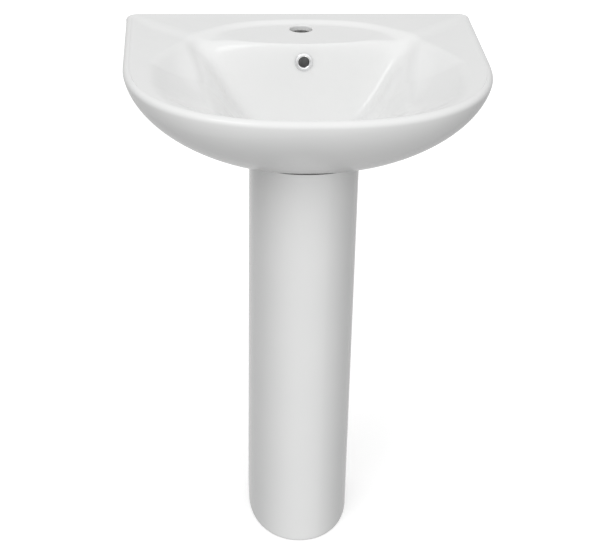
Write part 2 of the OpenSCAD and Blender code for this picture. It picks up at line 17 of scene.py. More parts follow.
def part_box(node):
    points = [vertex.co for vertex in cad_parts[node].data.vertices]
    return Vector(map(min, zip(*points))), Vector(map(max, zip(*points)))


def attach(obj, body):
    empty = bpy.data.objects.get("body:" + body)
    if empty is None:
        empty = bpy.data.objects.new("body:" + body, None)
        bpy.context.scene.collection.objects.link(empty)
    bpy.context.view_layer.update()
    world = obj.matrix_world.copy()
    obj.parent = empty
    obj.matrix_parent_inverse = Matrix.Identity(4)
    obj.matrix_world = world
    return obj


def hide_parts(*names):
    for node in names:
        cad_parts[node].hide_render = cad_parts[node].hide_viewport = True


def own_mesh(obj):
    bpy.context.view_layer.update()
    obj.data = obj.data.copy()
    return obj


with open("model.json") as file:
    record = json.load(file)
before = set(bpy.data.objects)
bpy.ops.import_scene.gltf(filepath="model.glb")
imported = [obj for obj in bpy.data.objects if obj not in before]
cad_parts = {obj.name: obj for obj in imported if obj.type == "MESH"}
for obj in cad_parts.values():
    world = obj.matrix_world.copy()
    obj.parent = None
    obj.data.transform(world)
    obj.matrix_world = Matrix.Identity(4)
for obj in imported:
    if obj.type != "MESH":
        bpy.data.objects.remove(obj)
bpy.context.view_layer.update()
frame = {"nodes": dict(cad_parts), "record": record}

MM = 0.001

# %% [markdown]
# ## The camera first
# The basin is seen from above and a little to its left, with a long lens, so that the front rim hides
# the waste and the bowl shows its back half. The camera is levelled: yaw, pitch and a small
# roll turn into one matrix, whose columns are right, up and backwards.

# %% Camera
CAMERA_AT = Vector((-0.1256, -1.7168, 1.4496))
YAW, PITCH, ROLL = 0.0704, 0.5163, 0.0212
LENS_MM = 74.65

forward = Vector((math.sin(YAW)*math.cos(PITCH), math.cos(YAW)*math.cos(PITCH), -math.sin(PITCH)))
level = Vector((math.cos(YAW), -math.sin(YAW), 0))
above = level.cross(forward)
right = level*math.cos(ROLL) + above*math.sin(ROLL)
up = above*math.cos(ROLL) - level*math.sin(ROLL)
camera = bpy.data.objects.new("camera", bpy.data.cameras.new("camera"))
camera.data.lens = LENS_MM
camera.data.sensor_width = 36
camera.matrix_world = Matrix.Translation(CAMERA_AT) @ Matrix((right, up, -forward)).transposed().to_4x4()
bpy.context.scene.collection.objects.link(camera)
bpy.context.scene.camera = camera
print("camera looks along", [round(v, 3) for v in forward])

# %% [markdown]
# ## Finishes
# Every finish is a Principled shader with noise behind its roughness and its bump, and, except on the
# metals, behind a little of its colour, because no real surface is perfectly even. Noise is measured in
# the model's own metres, so a scale of 100 makes marks about 10 mm across.

# %% A finish with noise
def new_finish(name, color, roughness, metallic=0.0, **sockets):
    material = bpy.data.materials.new(name)
    material.use_nodes = True
    shader = material.node_tree.nodes["Principled BSDF"]
    shader.inputs["Base Color"].default_value = (*color, 1)
    shader.inputs["Roughness"].default_value = roughness
    shader.inputs["Metallic"].default_value = metallic
    for socket, value in sockets.items():
        shader.inputs[socket.replace("_", " ")].default_value = value
    return material


def add_noise(material, scale, detail=3.0, stretch=(1, 1, 1)):
    nodes, links = material.node_tree.nodes, material.node_tree.links
    place = nodes.new("ShaderNodeTexCoord")
    mapping = nodes.new("ShaderNodeMapping")
    mapping.inputs["Scale"].default_value = stretch
    noise = nodes.new("ShaderNodeTexNoise")
    noise.inputs["Scale"].default_value = scale
    noise.inputs["Detail"].default_value = detail
    links.new(place.outputs["Object"], mapping.inputs["Vector"])
    links.new(mapping.outputs["Vector"], noise.inputs["Vector"])
    return noise


def vary(material, noise, socket, low, high):
    """The socket goes from low to high as the noise goes from its darkest to its brightest."""
    nodes, links = material.node_tree.nodes, material.node_tree.links
    ramp = nodes.new("ShaderNodeValToRGB")
    for stop, at, value in zip(ramp.color_ramp.elements, (0.3, 0.7), (low, high)):
        stop.position = at
        stop.color = (*value, 1) if hasattr(value, "__len__") else (value, value, value, 1)
    links.new(noise.outputs["Fac"], ramp.inputs["Fac"])
    links.new(ramp.outputs["Color"], material.node_tree.nodes["Principled BSDF"].inputs[socket])
    return ramp


def emboss(material, noises, distance):
    """Bumps from several noises, each with its own share, on top of each other."""
    nodes, links = material.node_tree.nodes, material.node_tree.links
    last = None
    for noise, strength in noises:
        bump = nodes.new("ShaderNodeBump")
        bump.inputs["Strength"].default_value = strength
        bump.inputs["Distance"].default_value = distance
        links.new(noise.outputs["Fac"], bump.inputs["Height"])
        if last:
            links.new(last.outputs["Normal"], bump.inputs["Normal"])
        last = bump
    links.new(last.outputs["Normal"], nodes["Principled BSDF"].inputs["Normal"])


# %% [markdown]
# ## Glazed vitreous china
# The ware is white clay under about half a millimetre of white glaze. The glaze has a soft gloss under
# a thin clear coat. It pooled as it melted, so reflections waver over a hand's width and carry a very
# fine orange-peel. Where the ware stood in the kiln and where it meets the wall the glaze was wiped off,
# and the bare clay is matt and a little warmer. One material does all of it: a mask from the height
# above the floor and from the distance to the wall turns the glaze into bare clay.

# %% Glaze
GLAZE = (0.86, 0.862, 0.858)
GLAZE_POOLED = (0.84, 0.845, 0.842)
BARE_CLAY, BARE_ROUGH = (0.80, 0.78, 0.74), 0.7
FOOT_BARE, WALL_BARE = 0.6*MM, 0.3*MM
wall_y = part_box("basin")[1].y


def past_plane(material, axis, edge, sign):
    """A mask that is 1 past a plane across the axis: above it if sign is positive, below it if not."""
    nodes, links = material.node_tree.nodes, material.node_tree.links
    place = nodes.new("ShaderNodeTexCoord")
    split = nodes.new("ShaderNodeSeparateXYZ")
    compare = nodes.new("ShaderNodeMath")
    compare.operation = "GREATER_THAN" if sign > 0 else "LESS_THAN"
    compare.inputs[1].default_value = edge
    links.new(place.outputs["Object"], split.inputs["Vector"])
    links.new(split.outputs[axis], compare.inputs[0])
    return compare.outputs[0]


def make_glaze():
    material = new_finish("glazed_china", GLAZE, 0.2, Coat_Weight=0.25, Coat_Roughness=0.12, IOR=1.45)
    nodes, links = material.node_tree.nodes, material.node_tree.links
    shader = nodes["Principled BSDF"]
    pooled = add_noise(material, 9, detail=2)
    peel = add_noise(material, 240, detail=1)
    fine = add_noise(material, 60, detail=4)
    color = vary(material, pooled, "Base Color", GLAZE_POOLED, GLAZE)
    rough = vary(material, fine, "Roughness", 0.19, 0.25)
    emboss(material, [(pooled, 0.12), (peel, 0.015)], 0.004)
    bare = nodes.new("ShaderNodeMath")
    bare.operation = "MAXIMUM"
    links.new(past_plane(material, "Z", FOOT_BARE, -1), bare.inputs[0])
    links.new(past_plane(material, "Y", wall_y - WALL_BARE, 1), bare.inputs[1])
    bare_looks = (("Base Color", color, (*BARE_CLAY, 1)), ("Roughness", rough, (*[BARE_ROUGH]*3, 1)))
    for socket, source, value in bare_looks:
        mix = nodes.new("ShaderNodeMix")
        mix.data_type = "RGBA"
        mix.inputs["B"].default_value = value
        links.new(bare.outputs[0], mix.inputs["Factor"])
        links.new(source.outputs["Color"], mix.inputs["A"])
        links.new(mix.outputs["Result"], shader.inputs[socket])
    return material


glaze = make_glaze()
print("glaze nodes:", len(glaze.node_tree.nodes))

# %% [markdown]
# ## Metals
# Chrome plate copies the polish of the brass under it, so it only needs a trace of unevenness.
# Machined brass and zinc plate keep the marks of the tool, which run round the piece: the noise is
# squeezed along the height, so that it draws fine rings.

# %% Metals
def make_metal(name, color, low, high, ring_scale=0.0):
    metal = new_finish(name, color, low, metallic=1.0)
    stretch = (1, 1, 12) if ring_scale else (1, 1, 1)
    noise = add_noise(metal, ring_scale or 70, detail=4, stretch=stretch)
    vary(metal, noise, "Roughness", low, high)
    emboss(metal, [(noise, 0.12 if ring_scale else 0.02)], 0.0005)
    return metal


chrome = make_metal("chrome", (0.88, 0.885, 0.89), 0.04, 0.1)
plated = make_metal("plated_brass", (0.84, 0.84, 0.82), 0.12, 0.26, ring_scale=120)
brass = make_metal("raw_brass", (0.80, 0.62, 0.30), 0.22, 0.4, ring_scale=150)
zinc = make_metal("zinc_steel", (0.72, 0.73, 0.75), 0.25, 0.45, ring_scale=200)
spring_steel = make_metal("spring_steel", (0.60, 0.61, 0.63), 0.2, 0.35)

# %% [markdown]
# ## Plastics and rubber
# Moulded parts are satin, with a very faint grain from the mould. Rubber is matt and slightly dusty,
# so its colour varies more than its shape does.

# %% Plastics and rubber
def make_moulded(name, dark, light, low, high, grain, bump, **sockets):
    material = new_finish(name, light, high, **sockets)
    noise = add_noise(material, grain, detail=5)
    broad = add_noise(material, 25, detail=2)
    vary(material, broad, "Base Color", dark, light)
    vary(material, noise, "Roughness", low, high)
    emboss(material, [(noise, bump)], 0.0004)
    return material


white_plastic = make_moulded("white_plastic", (0.84, 0.84, 0.825), (0.89, 0.89, 0.88), 0.28, 0.42, 500, 0.08)
nylon = make_moulded("nylon", (0.80, 0.77, 0.68), (0.87, 0.85, 0.77), 0.35, 0.5, 400, 0.1)
acetal = make_moulded("orange_acetal", (0.78, 0.36, 0.08), (0.86, 0.43, 0.12), 0.3, 0.42, 400, 0.06)
black_rubber = make_moulded("black_rubber", (0.025, 0.025, 0.026), (0.05, 0.05, 0.05), 0.6, 0.85, 900, 0.3)
grey_rubber = make_moulded("grey_rubber", (0.26, 0.27, 0.28), (0.34, 0.35, 0.36), 0.6, 0.85, 900, 0.3)
finishes = {"glazed_china": glaze, "chrome": chrome, "plated_brass": plated, "raw_brass": brass,
            "zinc_steel": zinc, "spring_steel": spring_steel, "white_plastic": white_plastic, "nylon": nylon,
            "orange_acetal": acetal, "black_rubber": black_rubber, "grey_rubber": grey_rubber}
print("finishes:", sorted(finishes))

# %% [markdown]
# ## Mesh helpers
# Most of the pieces are either lofted through rings or turned on a lathe. Both start as a grid of
# points. A closed grid can then be cut by another closed mesh, as a drill or a knife would. Blender's
# manifold solver does this exactly and fast, as long as every mesh is watertight.

# %% Mesh helpers
def new_piece(name, points, faces):
    mesh = bpy.data.meshes.new(name)
    mesh.from_pydata([tuple(p) for p in points], [], faces)
    mesh.update()
    piece = bpy.data.objects.new(name, mesh)
    bpy.context.scene.collection.objects.link(piece)
    return piece


def loft(name, rings):
    """A closed solid through rings of equal length, lowest first, each seen counter-clockwise from above."""
    rings = np.asarray(rings, float)
    count, size = rings.shape[:2]
    at = np.arange(count*size).reshape(count, size)
    side = np.roll(at, -1, axis=1)
    quads = np.stack([at[:-1], side[:-1], side[1:], at[1:]], axis=-1).reshape(-1, 4)
    points = np.vstack([rings.reshape(-1, 3), rings[0].mean(0), rings[-1].mean(0)])
    low, high = count*size, count*size + 1
    caps = [(low, at[0][(i + 1) % size], at[0][i]) for i in range(size)]
    caps += [(high, at[-1][i], at[-1][(i + 1) % size]) for i in range(size)]
    return new_piece(name, points, quads.tolist() + [[int(v) for v in cap] for cap in caps])


def turned(name, profile, steps=96):
    """A solid of revolution about Z. The profile is a closed outline of (radius, height) points,
    counter-clockwise with the axis on its left."""
    spin = np.linspace(0, 2*math.pi, steps, endpoint=False)
    points, faces, row = [], [], {}
    for i, (radius, height) in enumerate(profile):
        if radius < 1e-7:
            row[i] = [len(points)]*steps
            points.append((0, 0, height))
        else:
            row[i] = list(range(len(points), len(points) + steps))
            points += [(radius*math.cos(a), radius*math.sin(a), height) for a in spin]
    for i in range(len(profile)):
        here, there = row[i], row[(i + 1) % len(profile)]
        for k in range(steps):
            j = (k + 1) % steps
            corners = [here[k], here[j], there[j], there[k]]
            kept = [c for n, c in enumerate(corners) if c != corners[n - 1]]
            if len(kept) > 2:
                faces.append(kept)
    return new_piece(name, points, faces)


def arc(centre, radius, start, end, steps=8):
    """Points of a circle in a profile, from one angle to another, in degrees."""
    return [(centre[0] + radius*math.cos(math.radians(a)), centre[1] + radius*math.sin(math.radians(a)))
            for a in np.linspace(start, end, steps + 1)]


def block(name, low, high):
    corners = [(x, y, z) for z in (low[2], high[2]) for y in (low[1], high[1]) for x in (low[0], high[0])]
    sides = [(0, 2, 3, 1), (4, 5, 7, 6), (0, 1, 5, 4), (2, 6, 7, 3), (0, 4, 6, 2), (1, 3, 7, 5)]
    return new_piece(name, corners, sides)


def cylinder(name, radius, low, high, steps=48):
    return turned(name, [(0, low), (radius, low), (radius, high), (0, high)], steps)


def combine(piece, tool, operation):
    """Cuts the tool out of the piece or joins it on, and throws the tool away."""
    step = piece.modifiers.new(operation, "BOOLEAN")
    step.operation, step.object, step.solver = operation, tool, "MANIFOLD"
    shape = piece.evaluated_get(bpy.context.evaluated_depsgraph_get())
    mesh = bpy.data.meshes.new_from_object(shape)
    piece.modifiers.clear()
    piece.data = mesh
    bpy.data.objects.remove(tool)
    return piece


def move(piece, matrix):
    piece.data.transform(matrix)
    return piece


def smooth(piece, angle=35):
    piece.data.shade_smooth()
    piece.data.set_sharp_from_angle(angle=math.radians(angle))


def finish_as(piece, node, finish, body, *more_nodes):
    """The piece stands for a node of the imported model, with its finish, on its body."""
    piece.data.materials.clear()
    piece.data.materials.append(finishes[finish])
    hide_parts(node, *more_nodes)
    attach(piece, body)
    print(f"{piece.name}: {len(piece.data.polygons)} faces")


# %% [markdown]
# ## The outline of the basin
# Seen from above the basin has a straight back, sides that draw in a little towards the front, and a
# full front curve between a circle and a rectangle, which a superellipse gives with one exponent.
# The same outline, drawn in or scaled, makes every ring of the ware.

# %% Outline
basin_low, basin_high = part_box("basin")
HALF_W, RIM_Z, FRONT_Y = basin_high.x, basin_high.z, -basin_low.y
TAPER = 0.035
PLAN_SQUARE = 2.45
CORNER_R = 12*MM
BACK_POINTS, SIDE_POINTS, FRONT_POINTS = 44, 26, 110


def side_half(y, inset=0.0):
    return HALF_W - TAPER*(wall_y - y) - inset


def outline(inset=0.0, back=wall_y):
    """Points round the basin, counter-clockwise from the middle of the back."""
    corner_x = side_half(back, inset) - CORNER_R
    along_back = [(s*corner_x, back) for s in np.linspace(0, 1, BACK_POINTS, endpoint=False)]
    corner = arc((corner_x, back - CORNER_R), CORNER_R, 90, 0, 7)
    ys = np.linspace(back - CORNER_R, 0, SIDE_POINTS, endpoint=False)[1:]
    side = [(side_half(y, inset), y) for y in ys]
    turn = np.linspace(0, math.pi/2, FRONT_POINTS + 1)
    front_y = -(FRONT_Y - inset)*np.sin(turn)**(2/PLAN_SQUARE)
    front_x = side_half(front_y, inset)*np.maximum(np.cos(turn), 0)**(2/PLAN_SQUARE)
    half = np.array(along_back + corner + side + list(zip(front_x, front_y)))
    left = half*(-1, 1)
    return np.vstack([left, half[-2:0:-1]])


def ring(points, z):
    z = np.full(len(points), z) if np.isscalar(z) else z
    return np.column_stack([points, z])


print("points round the outline:", len(outline()))

# %% [markdown]
# ## The bowl as a height
# The top of the basin is one surface over the outline, so it can be written as a depth below the rim:
# a petal-shaped bowl in the middle, two shallow wings beside it, a sunk ledge for the tap and a slight
# dish in the side rims. The wings and the dishes end at a slanting line on each side of the ledge. A
# soft maximum joins the shapes with rounded folds, like those a sponge leaves on wet clay: wide where
# bowl and wings meet, tighter at the ledge, and only a few millimetres at the rim. Adding a thickness
# gives the underside of the same wall.

# %% Depth of the top surface
BOWL_DEPTH, WING_DEPTH, LEDGE_RECESS, DISH = 142*MM, 52*MM, 5*MM, 3*MM
FRONT_RIM, SIDE_RIM, LEDGE_Y = 15*MM, 38*MM, 86*MM
PETAL_HALF_W, PETAL_SPREAD, PETAL_FLARE, LEDGE_HALF_W = 155*MM, 0.15, 0.9, 162*MM
LEDGE_BOW, PETAL_CORNER = 22*MM, 3
WING_DRAW, WING_BACK = 0.35, 160*MM
LEDGE_TO_WALL = 34*MM
PETAL_SQUARE, PETAL_BACK_SQUARE, WING_SQUARE, LEDGE_SQUARE = 2.6, 3.2, 2.8, 2.4
WING_HALF = side_half(0) - SIDE_RIM
FOLD_WING, FOLD_WING_BACK, FOLD_LEDGE, FOLD_LEDGE_SIDE = 54*MM, 28*MM, 10*MM, 26*MM
FOLD_DISH, FOLD_RIM, FOLD_FINE = 5*MM, 3*MM, 2*MM


def soft_max(a, b, width):
    overlap = np.maximum(width - np.abs(a - b), 0)
    return np.maximum(a, b) + overlap*overlap/(4*width)


def soft_min(a, b, width):
    return -soft_max(-a, -b, width)


def petal_depth(x, y, t):
    half = PETAL_HALF_W + t + np.where(y < 0, PETAL_SPREAD*y, PETAL_FLARE*y*y)
    reach = np.where(y < 0, FRONT_Y - FRONT_RIM + t, LEDGE_Y + LEDGE_BOW*(x/LEDGE_HALF_W)**2 + t)
    power = np.where(y < 0, PETAL_SQUARE, PETAL_BACK_SQUARE)
    corner = np.where(y < 0, 1, PETAL_CORNER)
    across, along = (np.abs(x)/half)**PETAL_SQUARE, (np.abs(y)/reach)**power
    return (BOWL_DEPTH + t)*(1 - (across**corner + along**corner)**(1/corner))


def before_line(x, y):
    """Distance in front of the slanting line from the ledge's corner out to the wall."""
    return 0.7*(np.abs(x) - LEDGE_HALF_W + 2*MM) - 0.72*(y - LEDGE_Y - 19*MM)


def wing_depth(x, y, t):
    half = WING_HALF - WING_DRAW*np.maximum(y, 0) + t
    reach = np.where(y < 0, FRONT_Y - FRONT_RIM - 2*MM + t, WING_BACK + t)
    hollow = (WING_DEPTH + t)*(1 - (np.abs(x)/half)**WING_SQUARE - (np.abs(y)/reach)**WING_SQUARE)
    return soft_min(hollow, t + LEDGE_RECESS + 0.45*before_line(x, y), FOLD_WING_BACK)


def ledge_depth(x, y, t):
    middle = LEDGE_Y - 16*MM
    half = wall_y - LEDGE_TO_WALL - middle
    rho = (np.abs(x)/(LEDGE_HALF_W + t))**LEDGE_SQUARE + (np.abs(y - middle)/(half + t))**LEDGE_SQUARE
    return t + soft_min(LEDGE_RECESS, 40*MM*(1 - rho), 4*MM)


def dish_depth(x, y, t):
    from_edge = side_half(y) - np.abs(x)
    slope = soft_min(0.25*before_line(x, y), 0.12*(from_edge - 10*MM), FOLD_FINE)
    return t + soft_min(DISH, slope, FOLD_FINE)


def top_depth(x, y, t=0.0):
    bowl = soft_max(petal_depth(x, y, t), wing_depth(x, y, t), FOLD_WING)
    ledge_fold = FOLD_LEDGE + FOLD_LEDGE_SIDE*np.minimum((x/LEDGE_HALF_W)**2, 1)
    deep = soft_max(bowl, ledge_depth(x, y, t), ledge_fold)
    return soft_max(soft_max(deep, dish_depth(x, y, t), FOLD_DISH), t, FOLD_RIM)


print("depth over the waste:", round(float(top_depth(np.zeros(1), np.zeros(1))[0]), 4))

# %% [markdown]
# ## The outside of the basin
# Below the rim the shell closes in towards the pedestal. The front closes both ways and the back only
# sideways, so that the back stays flat against the wall. The rim's edge is rolled over. The rings
# climb the shell, round the rim and walk inwards over the bowl, so the whole glazed skin is one
# smooth grid with no seam.

# %% Skin of the basin
SHELL_DEPTH = BOWL_DEPTH + 17*MM
SIDE_FULL, BELLY_FULL = 1.82, 1.51
RIM_ROUND = 9*MM
SHELL_RINGS, TOP_RINGS = 34, 170


def shell_scale(depth, full_depth):
    return (1 - (depth/full_depth)**SIDE_FULL)**(1/BELLY_FULL)


def shell_ring(points, depth, full_depth):
    scale = shell_scale(depth, full_depth)
    x, y = points.T
    return ring(np.column_stack([scale*x, np.where(y < 0, scale*y, y)]), RIM_Z - depth)


def skin_rings():
    rim_angle = math.asin(RIM_ROUND/SHELL_DEPTH)
    climb = np.sin(np.linspace(math.radians(87.5), rim_angle, SHELL_RINGS, endpoint=False))
    rings = [shell_ring(outline(), s*SHELL_DEPTH, SHELL_DEPTH) for s in climb]
    for angle in np.linspace(0, math.pi/2, 9):
        inset, depth = RIM_ROUND*(1 - math.cos(angle)), RIM_ROUND*(1 - math.sin(angle))
        rings.append(shell_ring(outline(inset, wall_y - inset/3), depth, SHELL_DEPTH))
    edge = outline(RIM_ROUND, wall_y - RIM_ROUND/3)
    for s in np.linspace(1, 0.008, TOP_RINGS)[1:]:
        points = s*edge
        rings.append(ring(points, RIM_Z - top_depth(points[:, 0], points[:, 1])))
    return rings


basin = loft("basin_ware", skin_rings())
print("skin of the basin:", len(basin.data.polygons), "faces")

# %% [markdown]
# ## The hollow under the bowl
# Sanitary ware is cast hollow, with walls about 12 mm thick, and is open at the back below the wall
# face. The hollow is the space inside the shell and below the bowl. It is made as one solid and cut
# out. A boss carries the waste, and a block behind the bowl holds the hidden overflow channel.

# %% Hollow, boss and channel
WALL, BACK_WALL = 12*MM, 14*MM
APRON = 106*MM
BOWL_Z = RIM_Z - BOWL_DEPTH
SEAT_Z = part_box("waste_top_seal")[0].z
BOSS_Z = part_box("basin")[0].z
BOSS_R = 43*MM
CHANNEL_W, CHANNEL_T, CHANNEL_WALL = 30*MM, 13*MM, 9*MM
CHANNEL_Y = LEDGE_Y + WALL + 2*MM
OVERFLOW_DEPTH = 31*MM
OVERFLOW_Z = RIM_Z - OVERFLOW_DEPTH
OVERFLOW_Y = LEDGE_Y*(1 - OVERFLOW_DEPTH/BOWL_DEPTH)**(1/PETAL_BACK_SQUARE)
OVERFLOW_TILT = 10
COARSE = 4
APART = 0.01*MM    # keeps two faces out of one plane, which a cut needs


def space_above(t, spread=1.04, steps=60):
    """Everything above the top surface, thickened by t."""
    edge = outline()[::COARSE]
    rings = []
    for s in np.linspace(0.02, spread, steps):
        points = s*edge
        rings.append(ring(points, RIM_Z - top_depth(points[:, 0], points[:, 1], t)))
    rings.append(ring(spread*edge, RIM_Z + 20*MM))
    return loft("space_above", rings)


def inside_of_shell():
    points = outline(WALL, wall_y - BACK_WALL)[::COARSE]
    depth = SHELL_DEPTH - WALL
    climb = np.sin(np.linspace(math.radians(86), 0, 24))
    rings = [shell_ring(points, s*depth, depth) for s in climb]
    return loft("inside", rings + [ring(points, RIM_Z + 1*MM)])


def rear_cut():
    """A wedge that opens the back below the wall face."""
    near, far, low = BOSS_R + 8*MM, wall_y + 5*MM, RIM_Z - SHELL_DEPTH - 20*MM
    corners = [(near, low), (far, low), (far, RIM_Z - APRON), (near, low + 23*MM)]
    points = [(x, y, z) for x in (-0.3, 0.3) for y, z in corners]
    sides = [(3, 2, 1, 0), (4, 5, 6, 7), (0, 1, 5, 4), (1, 2, 6, 5), (2, 3, 7, 6), (3, 0, 4, 7)]
    return new_piece("rear_cut", points, sides)


def boss():
    profile = [(0, BOSS_Z), (BOSS_R - 2*MM, BOSS_Z), (BOSS_R, BOSS_Z + 2*MM), (BOSS_R, BOWL_Z), (0, BOWL_Z)]
    post = turned("boss", profile, 128)
    half = CHANNEL_W/2 + CHANNEL_WALL
    back = CHANNEL_Y + CHANNEL_T + CHANNEL_WALL
    combine(post, block("run", (-half, 0, BOSS_Z + 0.2*MM), (half, back, BOSS_Z + 34*MM)), "UNION")
    rise = block("rise", (-half + APART, LEDGE_Y - 24*MM, BOSS_Z + 0.4*MM),
                 (half - APART, back + APART, OVERFLOW_Z + 24*MM))
    combine(post, rise, "UNION")
    return combine(post, space_above(WALL/2), "DIFFERENCE")


combine(basin, combine(inside_of_shell(), space_above(WALL), "DIFFERENCE"), "DIFFERENCE")
combine(basin, rear_cut(), "DIFFERENCE")
combine(basin, boss(), "UNION")
print("hollow basin:", len(basin.data.polygons), "faces")

# %% [markdown]
# ## Holes with glazed lips
# Glaze runs back from a sharp edge as it melts, so every hole in the ware has a rounded lip. The
# cutters are turned with a flare at the top: a flare of 3 mm leaves the lip that a tap sits on. Under
# the tap hole the ware is thinned in a round pocket, so that the tap's nut has a flat seat and the
# hole looks as thin as it does on a real basin.

# %% Holes
TAP_Y = wall_y - 61*MM
TAP_R, TAP_LIP = 17.5*MM, 3*MM
WASTE_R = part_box("waste_body")[1].x + 1.5*MM
BOLT_X, BOLT_Z, BOLT_HOLE_R = 140*MM, RIM_Z - 52*MM, 7.5*MM
POCKET_R, TAP_CHINA = 26*MM, 8.5*MM
WASTE_BORE, WASTE_LIP = 23*MM, 4*MM
OVERFLOW_R, OVERFLOW_LIP = 10.5*MM, 1.5*MM


def drill(low, high, radius, wide, lip, seat, bend):
    """Outline of a cutter from low to high, whose side turns out by lip from the height seat up."""
    flare = [(wide + lip*(1 - math.cos(a)), seat + lip*math.sin(a)) for a in bend]
    return [(0, low), (radius, low), *flare, (wide + lip, high), (0, high)]


def at_overflow():
    tilt = Matrix.Rotation(math.radians(90 - OVERFLOW_TILT), 4, "X")
    return Matrix.Translation((0, OVERFLOW_Y, OVERFLOW_Z)) @ tilt


channel_back = CHANNEL_Y + CHANNEL_T
channel_low = block("channel_low", (-CHANNEL_W/2, 0, BOSS_Z + 10*MM),
                    (CHANNEL_W/2, channel_back, BOSS_Z + 24*MM))
channel_up = block("channel_up", (-CHANNEL_W/2 + APART, CHANNEL_Y, BOSS_Z + 10.1*MM),
                   (CHANNEL_W/2 - APART, channel_back - APART, OVERFLOW_Z + 12*MM))
combine(basin, combine(channel_low, channel_up, "UNION"), "DIFFERENCE")
ledge_z = RIM_Z - float(top_depth(np.zeros(1), np.full(1, TAP_Y))[0])
at_tap = Matrix.Translation((0, TAP_Y, 0))
tap_seat = ledge_z + 0.1*MM - TAP_LIP
tap_outline = drill(RIM_Z - 60*MM, RIM_Z + 10*MM, TAP_R, TAP_R, TAP_LIP, tap_seat, np.linspace(0, 1.45, 10))
combine(basin, move(turned("tap_cutter", tap_outline, 128), at_tap), "DIFFERENCE")
pocket_low, pocket_top = RIM_Z - 50*MM, ledge_z - TAP_CHINA
pocket = [(0, pocket_low), (POCKET_R, pocket_low), (POCKET_R, pocket_top - 1.5*MM),
          (POCKET_R - 1.5*MM, pocket_top), (0, pocket_top)]
combine(basin, move(turned("tap_pocket", pocket, 96), at_tap), "DIFFERENCE")
waste_top = SEAT_Z + 12*MM
waste_outline = drill(BOSS_Z - 1*MM, waste_top, WASTE_BORE, WASTE_R, WASTE_LIP, SEAT_Z, np.linspace(0, 1.4, 8))
waste_outline.insert(2, (WASTE_BORE, SEAT_Z))
combine(basin, turned("waste_cutter", waste_outline, 128), "DIFFERENCE")
overflow_outline = drill(-28*MM, 20*MM, OVERFLOW_R, OVERFLOW_R, OVERFLOW_LIP, -1*MM, np.linspace(0.2, 1.4, 6))
overflow_outline.insert(2, (OVERFLOW_R, -1*MM))
combine(basin, move(turned("overflow_cutter", overflow_outline, 96), at_overflow()), "DIFFERENCE")


def at_bolt(side):
    return Matrix.Translation((side*BOLT_X, wall_y, BOLT_Z)) @ Matrix.Rotation(math.radians(90), 4, "X")


for side in (-1, 1):
    combine(basin, move(cylinder("bolt_cutter", BOLT_HOLE_R, -30*MM, 30*MM), at_bolt(side)), "DIFFERENCE")
smooth(basin, 32)
finish_as(basin, "basin", "glazed_china", "sink")

# %% [markdown]
# ## The pedestal
# The pedestal is a D in plan: nearly half an ellipse in front, straight sides, and a flat back with a
# tall opening for the pipes. It tapers slightly upwards and its top is scribed to the shell of the
# basin with a 3 mm gap for the rubber pads. The edge of the foot is rolled so that the glaze holds.

# %% Pedestal
FOOT_HALF, HEAD_HALF, PEDESTAL_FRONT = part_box("pedestal")[1].x, 83*MM, 91*MM
PEDESTAL_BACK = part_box("pedestal")[1].y
PEDESTAL_TOP = RIM_Z - SHELL_DEPTH + 60*MM
PEDESTAL_WALL, LEDGE_T, OPENING = 11*MM, 14*MM, 108*MM
PAD_GAP = 3*MM
PEDESTAL_SQUARE, PEDESTAL_NOSE = 2.1, 1.4
FOOT_GAP, SCREW_R, SCREW_Y = 44*MM, 5*MM, 30*MM


def pedestal_half(z):
    return FOOT_HALF + (HEAD_HALF - FOOT_HALF)*z/PEDESTAL_TOP


def pedestal_ring(z, inset=0.0, points_front=60):
    half_w = pedestal_half(z) - inset
    middle = PEDESTAL_NOSE*pedestal_half(z) - PEDESTAL_FRONT
    back, corner = PEDESTAL_BACK - inset, 7*MM
    along_back = [(s*(half_w - corner), back) for s in np.linspace(0, 1, 12, endpoint=False)]
    round_corner = arc((half_w - corner, back - corner), corner, 90, 0, 8)
    side = [(half_w, y) for y in np.linspace(back - corner, middle, 8, endpoint=False)[1:]]
    turn = np.linspace(0, math.pi/2, points_front + 1)
    nose = middle + PEDESTAL_FRONT - inset
    front = np.column_stack([half_w*np.maximum(np.cos(turn), 0)**(2/PEDESTAL_SQUARE),
                             middle - nose*np.sin(turn)**(2/PEDESTAL_SQUARE)])
    half = np.vstack([along_back + round_corner + side, front])
    return ring(np.vstack([half*(-1, 1), half[-2:0:-1]]), z)


def shell_solid(grow, top):
    """The outside of the basin as a solid, grown by a gap."""
    points = outline(-grow, wall_y + 10*MM)[::COARSE]
    depth = SHELL_DEPTH + grow
    climb = np.sin(np.linspace(math.radians(87.5), 0, 60))
    rings = [shell_ring(points, s*depth, depth) for s in climb]
    return loft("shell_solid", rings + [ring(points, top)])


